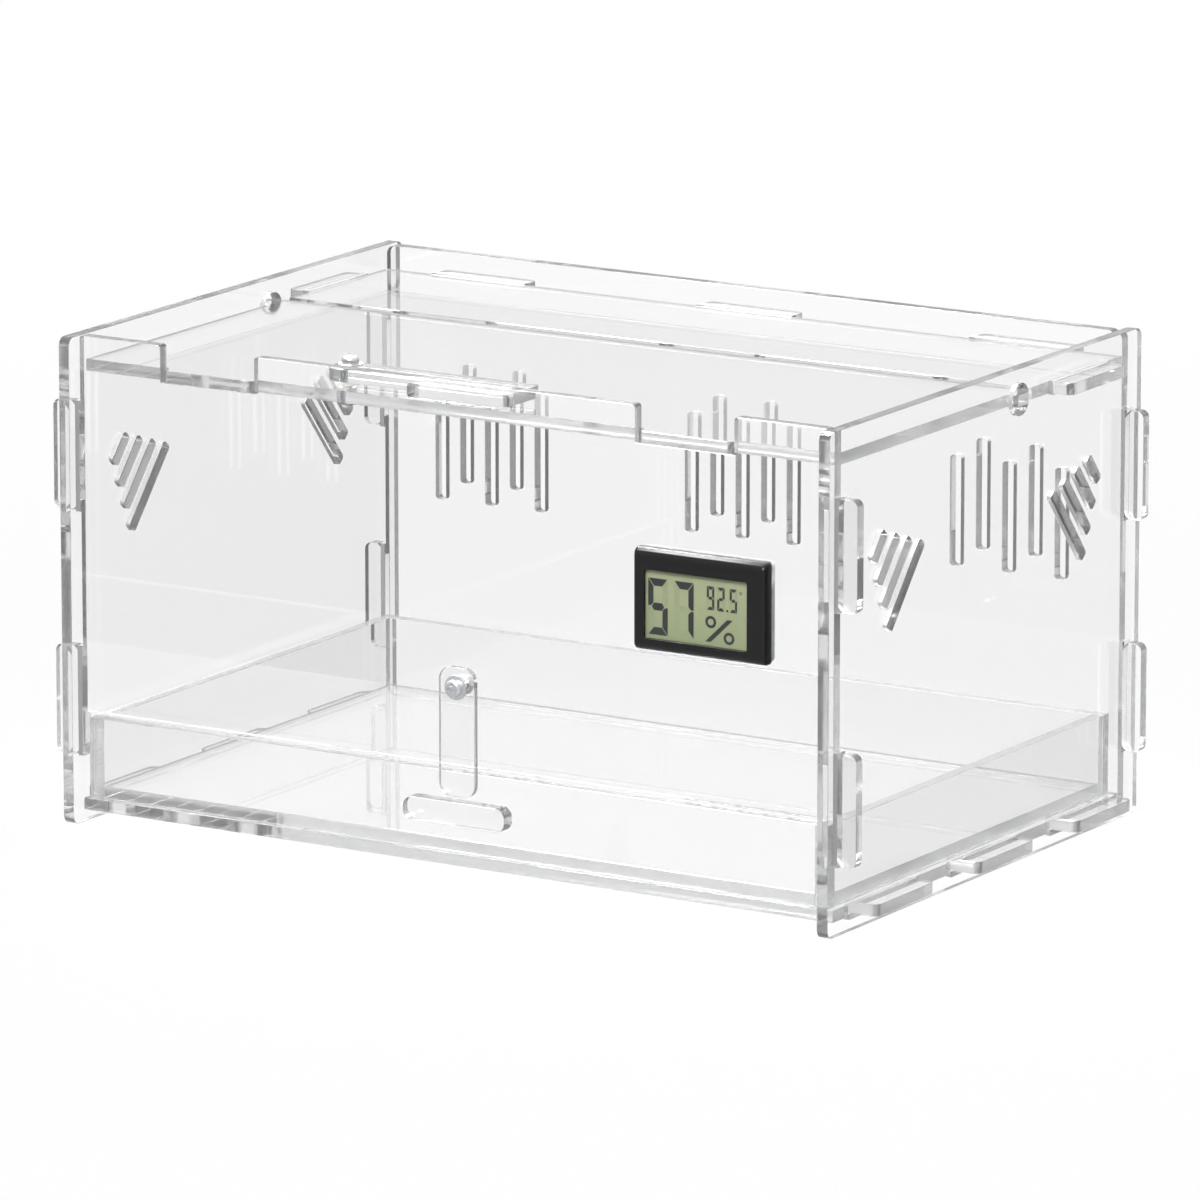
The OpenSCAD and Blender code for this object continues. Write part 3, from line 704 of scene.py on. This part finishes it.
def bars(w, h, tx, tz, gap):
    mid = h / 2
    return {
        "a": [(gap, h), (w - gap, h), (w - tx - gap, h - tz), (tx + gap, h - tz)],
        "d": [(gap, 0), (tx + gap, tz), (w - tx - gap, tz), (w - gap, 0)],
        "f": [(0, h - gap), (tx, h - tz - gap), (tx, mid + tz / 2), (tx * 0.5, mid + gap),
              (0, mid + gap)],
        "b": [(w, h - gap), (w, mid + gap), (w - tx * 0.5, mid + gap), (w - tx, mid + tz / 2),
              (w - tx, h - tz - gap)],
        "e": [(0, gap), (0, mid - gap), (tx * 0.5, mid - gap), (tx, mid - tz / 2), (tx, tz + gap)],
        "c": [(w, gap), (w - tx, tz + gap), (w - tx, mid - tz / 2), (w - tx * 0.5, mid - gap),
              (w, mid - gap)],
        "g": [(tx * 0.6 + gap, mid), (tx + gap, mid + tz / 2), (w - tx - gap, mid + tz / 2),
              (w - tx * 0.6 - gap, mid), (w - tx - gap, mid - tz / 2), (tx + gap, mid - tz / 2)],
    }


def ink_polygon(bm, points, index):
    face = bm.faces.new([bm.verts.new((x, display_low.y - INK_FRONT, z)) for x, z in points])
    face.material_index = index
    pushed = bmesh.ops.extrude_face_region(bm, geom=[face])["geom"]
    moved = [g for g in pushed if isinstance(g, bmesh.types.BMVert)]
    bmesh.ops.translate(bm, vec=(0, INK_DEEP, 0), verts=moved)


def add_figure(bm, figure, x, z, shape):
    for bar, points in bars(*shape).items():
        ink_polygon(bm, [(x + px, z + pz) for px, pz in points], 0 if bar in LIT[figure] else 1)


# width, height, thickness of the upright bars and of the level bars, gap between bars
BIG_FIGURE = [size * MM for size in (7.1, 17.9, 1.9, 2.4, 0.18)]
SMALL_FIGURE = [size * MM for size in (2.7, 7.5, 0.8, 1.0, 0.1)]
BIG_ROW = {0.72: "5", 10.1: "7"}
SMALL_ROW = {21.95: "9", 25.7: "2", 30.2: "5"}
BIG_FOOT = 1.15 * MM
SMALL_FOOT = 11.3 * MM
left = window_low.x + WINDOW_LAP
foot = window_low.z + WINDOW_LAP
bm = bmesh.new()
for x, figure in BIG_ROW.items():
    add_figure(bm, figure, left + x * MM, foot + BIG_FOOT, BIG_FIGURE)
for x, figure in SMALL_ROW.items():
    add_figure(bm, figure, left + x * MM, foot + SMALL_FOOT, SMALL_FIGURE)
print("display ink", len(bm.faces), "faces")


# %% Percent sign, point and degree ring
RING_STEPS = 32
# across and up from the window's lower left corner, radius, width of the line
RINGS = [(23.4, 7.5, 1.95, 0.9), (30.0, 2.95, 1.95, 0.9), (34.2, 17.8, 0.5, 0.2)]
SLASH = [(21.4, 1.15), (23.4, 1.15), (31.3, 8.8), (29.3, 8.8)]
POINT = [(29.0, 11.3), (29.7, 11.3), (29.7, 12.0), (29.0, 12.0)]


def ink_ring(bm, x, z, r, width):
    outer = bmesh.ops.create_circle(bm, cap_ends=False, segments=RING_STEPS, radius=r)
    inner = bmesh.ops.create_circle(bm, cap_ends=False, segments=RING_STEPS, radius=r - width)
    verts = outer["verts"] + inner["verts"]
    edges = list({e for v in verts for e in v.link_edges})
    faces = bmesh.ops.bridge_loops(bm, edges=edges)["faces"]
    bmesh.ops.rotate(bm, verts=verts, cent=(0, 0, 0), matrix=Matrix.Rotation(math.pi / 2, 3, "X"))
    bmesh.ops.translate(bm, verts=verts, vec=(x, display_low.y - INK_FRONT, z))
    pushed = bmesh.ops.extrude_face_region(bm, geom=faces)["geom"]
    moved = [g for g in pushed if isinstance(g, bmesh.types.BMVert)]
    bmesh.ops.translate(bm, vec=(0, INK_DEEP, 0), verts=moved)


for x, z, r, width in RINGS:
    ink_ring(bm, left + x * MM, foot + z * MM, r * MM, width * MM)
for outline in (SLASH, POINT):
    ink_polygon(bm, [(left + x * MM, foot + z * MM) for x, z in outline], 0)
bmesh.ops.recalc_face_normals(bm, faces=bm.faces)
figures = piece_from(bm, "meter_figures", "enclosure", [ink, faint])
print(figures.name, len(figures.data.polygons), "faces")

# %% [markdown]
# ## The meter's case and battery door
#
# Inside the box, the back of the meter shows through the clear panels: a black case and a door for two
# button cells. The case is a softened copy. The door is a plate with rounded rims and a row of small
# rounded bars across it, so that a thumb could slide it.

# %% Case
CASE_RIM = 0.3 * MM
make_softened("meter_case", "_moulded", [black_gloss], CASE_RIM)
print("softened the meter's case")

# %% Battery door with grip ridges
DOOR_RIM = 0.2 * MM
RIDGES = 6
RIDGE_PITCH = 1.4 * MM
RIDGE_HIGH = 0.4 * MM
RIDGE_SIZE = Vector((8, 0.8, 0.6)) * MM
RIDGE_RIM = 0.15 * MM
door_low, door_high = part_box("meter_battery_door")
door_mid = (door_low + door_high) / 2
bm = bmesh.new()
bmesh.ops.create_cube(bm, size=1)
door_size = door_high - door_low
bmesh.ops.scale(bm, vec=(door_size.x, door_size.y - RIDGE_HIGH, door_size.z), verts=bm.verts)
bmesh.ops.translate(bm, vec=door_mid - Vector((0, RIDGE_HIGH / 2, 0)), verts=bm.verts)
bmesh.ops.bevel(
    bm, geom=bm.edges[:], offset=DOOR_RIM, affect="EDGES", segments=2, profile=0.5, material=-1,
    clamp_overlap=True,
)
for k in range(RIDGES):
    ridge = bmesh.ops.create_cube(bm, size=1)["verts"]
    bmesh.ops.scale(bm, vec=RIDGE_SIZE, verts=ridge)
    high = door_mid.z + (k - (RIDGES - 1) / 2) * RIDGE_PITCH
    bmesh.ops.translate(bm, vec=(door_mid.x, door_high.y - RIDGE_HIGH, high), verts=ridge)
    edges = list({e for v in ridge for e in v.link_edges})
    bmesh.ops.bevel(
        bm, geom=edges, offset=RIDGE_RIM, affect="EDGES", segments=2, profile=0.5, material=-1,
        clamp_overlap=True,
    )
door = piece_from(
    bm, "meter_battery_door_ridged", "enclosure", [black_gloss],
    ["meter_battery_door"], 40,
)
print(door.name, len(door.data.polygons), "faces")

# %% [markdown]
# ## Circuit board and button cells
#
# These two sit inside the case, where only an opened meter would show them. The board keeps its CAD shape
# and gets a green solder mask with faint tracks. The cells are softened copies in plated steel.

# %% Board and cells
CELL_RIM = 0.5 * MM
solder_mask, tree, shader = new_finish("solder_mask")
vector = object_pattern(tree)
tracks = add_node(tree, "ShaderNodeTexBrick", Scale=300.0)
tracks.inputs["Color1"].default_value = (0.010, 0.085, 0.030, 1)
tracks.inputs["Color2"].default_value = (0.013, 0.100, 0.036, 1)
tracks.inputs["Mortar"].default_value = (0.030, 0.160, 0.060, 1)
tree.links.new(vector, tracks.inputs["Vector"])
tree.links.new(tracks.outputs["Color"], shader.inputs["Base Color"])
tree.links.new(add_range(tree, tracks.outputs["Fac"], 0.3, 0.4, 0, 1), shader.inputs["Roughness"])
nodes["meter_board"].data.materials.clear()
nodes["meter_board"].data.materials.append(solder_mask)
make_softened("meter_button_cells", "_crimped", [plated], CELL_RIM, 0.0, 3)
print("finished the board and the cells")

# %% [markdown]
# ## The white studio
#
# On a white sweep under even white light clear plastic all but disappears, because whatever way a ray
# is bent it ends on white. Photographers keep the straight view white and put grey cards at the sides,
# which only the edges pick up. Here the light path does the same. A ray that goes straight through sees
# white. One that mirrors off the outside sees paper that is greyer towards the front left. One that was
# thrown about inside a sheet sees a room with dark sides, a bright backdrop and a bright ceiling. Matt
# parts get an even grey light, which together with the front lamp comes to a plain level.


# %% Light path helper
def add_math(tree, operation, a, b):
    node = add_node(tree, "ShaderNodeMath", {"operation": operation})
    for socket, value in zip(node.inputs, (a, b)):
        if isinstance(value, (int, float)):
            socket.default_value = value
        else:
            tree.links.new(value, socket)
    return node.outputs["Value"]


def thrown_inside(tree, light_path):
    mirrored = add_math(tree, "GREATER_THAN", light_path.outputs["Glossy Depth"], 0.5)
    entered = add_math(tree, "GREATER_THAN", light_path.outputs["Transmission Depth"], 0.5)
    return add_math(tree, "MULTIPLY", mirrored, entered)


def mix_colours(tree, fac, a, b):
    mix = add_node(tree, "ShaderNodeMix", {"data_type": "RGBA"})
    tree.links.new(fac, mix.inputs[0])
    for socket, value in zip(mix.inputs[6:8], (a, b)):
        if isinstance(value, tuple):
            socket.default_value = value
        else:
            tree.links.new(value, socket)
    return mix.outputs[2]


def grey(level):
    return (level, level, level, 1)


print("light path helpers ready")

# %% Room light
WHITE = grey(1.0)
BACKDROP_SIDE = (-0.526, 0.850, 0.0)
BACK_RIGHT = (0.526, 0.850, 0.0)
MATT_LIGHT = grey(0.50)
world = bpy.data.worlds.new("studio_room")
world.use_nodes = True
bpy.context.scene.world = world
tree = world.node_tree
light_path = add_node(tree, "ShaderNodeLightPath")
direction = add_node(tree, "ShaderNodeTexCoord").outputs["Generated"]
parts = add_node(tree, "ShaderNodeSeparateXYZ")
tree.links.new(direction, parts.inputs["Vector"])
rise = add_range(tree, parts.outputs["Z"], 0.0, 1.0, 0.0, 0.9)
above = add_colours(tree, rise, [(0.60, 0.60, 0.60), (1.0, 1.0, 1.0)])
upward = add_math(tree, "GREATER_THAN", parts.outputs["Z"], 0.0)


def toward(side, low, high):
    facing = add_node(tree, "ShaderNodeVectorMath", {"operation": "DOT_PRODUCT"})
    facing.inputs[1].default_value = side
    tree.links.new(direction, facing.inputs[0])
    return add_range(tree, facing.outputs["Value"], 0.0, 1.0, low, high)


backdrop = toward(BACKDROP_SIDE, 0.82, 0.96)
back_right = toward(BACK_RIGHT, -0.6, 0.6)
sides = mix_colours(tree, back_right, grey(0.30), grey(0.08))
inside = mix_colours(tree, backdrop, mix_colours(tree, upward, sides, above), grey(0.96))
paper = mix_colours(tree, back_right, grey(0.60), WHITE)
outside = mix_colours(tree, upward, mix_colours(tree, backdrop, paper, WHITE), above)
mirror_room = mix_colours(tree, thrown_inside(tree, light_path), outside, inside)
bounced = add_math(tree, "GREATER_THAN", light_path.outputs["Glossy Depth"], 0.5)
seen = mix_colours(tree, bounced, WHITE, mirror_room)
lit = mix_colours(tree, light_path.outputs["Is Diffuse Ray"], seen, MATT_LIGHT)
tree.links.new(lit, tree.nodes["Background"].inputs["Color"])
print("made", world.name)

# %% [markdown]
# ## The floor
#
# The object stands on pale paper that runs on as far as the camera sees. Plain paper would come out grey
# at this level of light, and a glowing floor would light the object from below. So the paper glows only
# for rays that aren't diffuse, a little less near the middle, where the object's soft shadow stays
# visible. Mirrored rays pass through it to the room, which has its own paper below the horizon.

# %% Pale floor
FLOOR_HALF = 6.0
FLOOR_DROP = 0.2 * MM
floor_finish = bpy.data.materials.new("pale_sweep")
floor_finish.use_nodes = True
tree = floor_finish.node_tree
tree.nodes.remove(tree.nodes["Principled BSDF"])
light_path = add_node(tree, "ShaderNodeLightPath")
paper = add_node(tree, "ShaderNodeBsdfDiffuse", Color=grey(0.88))
glow = add_node(tree, "ShaderNodeEmission", Color=WHITE, Strength=1.0)
reach = add_node(tree, "ShaderNodeVectorMath", {"operation": "LENGTH"})
tree.links.new(object_pattern(tree), reach.inputs[0])
far = add_range(tree, reach.outputs["Value"], 0.94, 1.0, 0.25, 0.9)
not_diffuse = add_math(tree, "SUBTRACT", 1.0, light_path.outputs["Is Diffuse Ray"])


def mix_shaders(tree, fac, a, b):
    mix = add_node(tree, "ShaderNodeMixShader")
    tree.links.new(fac, mix.inputs["Fac"])
    tree.links.new(a, mix.inputs[1])
    tree.links.new(b, mix.inputs[2])
    return mix.outputs["Shader"]


lifted = add_math(tree, "MULTIPLY", far, not_diffuse)
sweep = mix_shaders(tree, lifted, paper.outputs["BSDF"], glow.outputs["Emission"])
open_air = add_node(tree, "ShaderNodeBsdfTransparent")
bounced = add_math(tree, "GREATER_THAN", light_path.outputs["Glossy Depth"], 0.5)
surface = mix_shaders(tree, bounced, sweep, open_air.outputs["BSDF"])
tree.links.new(surface, tree.nodes["Material Output"].inputs["Surface"])
floor_finish.cycles.emission_sampling = "NONE"
bm = bmesh.new()
bmesh.ops.create_grid(bm, x_segments=1, y_segments=1, size=FLOOR_HALF)
bmesh.ops.translate(bm, vec=(0, 0, -FLOOR_DROP), verts=bm.verts)
floor_mesh = bpy.data.meshes.new("studio_floor")
bm.to_mesh(floor_mesh)
bm.free()
floor_mesh.materials.append(floor_finish)
floor = bpy.data.objects.new("studio_floor", floor_mesh)
bpy.context.scene.collection.objects.link(floor)
print("floor", 2 * FLOOR_HALF, "m wide")

# %% [markdown]
# ## Lamps
#
# A big softbox at the front right lights the meter, the screws and the floor. Clear plastic shows lamps
# only as reflections, so two narrow strips stand behind and above the left side, where the rims and
# chamfers mirror them as thin white lines. The strips are hidden from matt surfaces, so that they don't
# raise the level there.


# %% Soft lamps
def add_softbox(name, place, along, width, length, watts, matte_too):
    lamp = bpy.data.lights.new(name, "AREA")
    lamp.shape = "RECTANGLE"
    lamp.size = width
    lamp.size_y = length
    lamp.energy = watts
    box = bpy.data.objects.new(name, lamp)
    back = (Vector(place) - MIDDLE).normalized()
    across = Vector(along).cross(back).normalized()
    box.location = place
    box.rotation_mode = "QUATERNION"
    box.rotation_quaternion = Matrix((across, back.cross(across), back)).transposed().to_quaternion()
    box.visible_diffuse = matte_too
    bpy.context.scene.collection.objects.link(box)
    print(name, "radiance", round(watts / (math.pi * width * length), 1))


MIDDLE = Vector((0, 0, 0.08))
add_softbox("front_softbox", (0.5, -1.9, 1.5), (0, 0, 1), 0.8, 0.9, 30, True)
add_softbox("rear_strip", (-0.73, 0.69, 1.16), (0, 0.67, -0.5), 0.25, 0.95, 42, False)
add_softbox("overhead_strip", (-0.80, -0.27, 1.60), (0, 0.5, 0.08), 0.25, 0.6, 12, False)
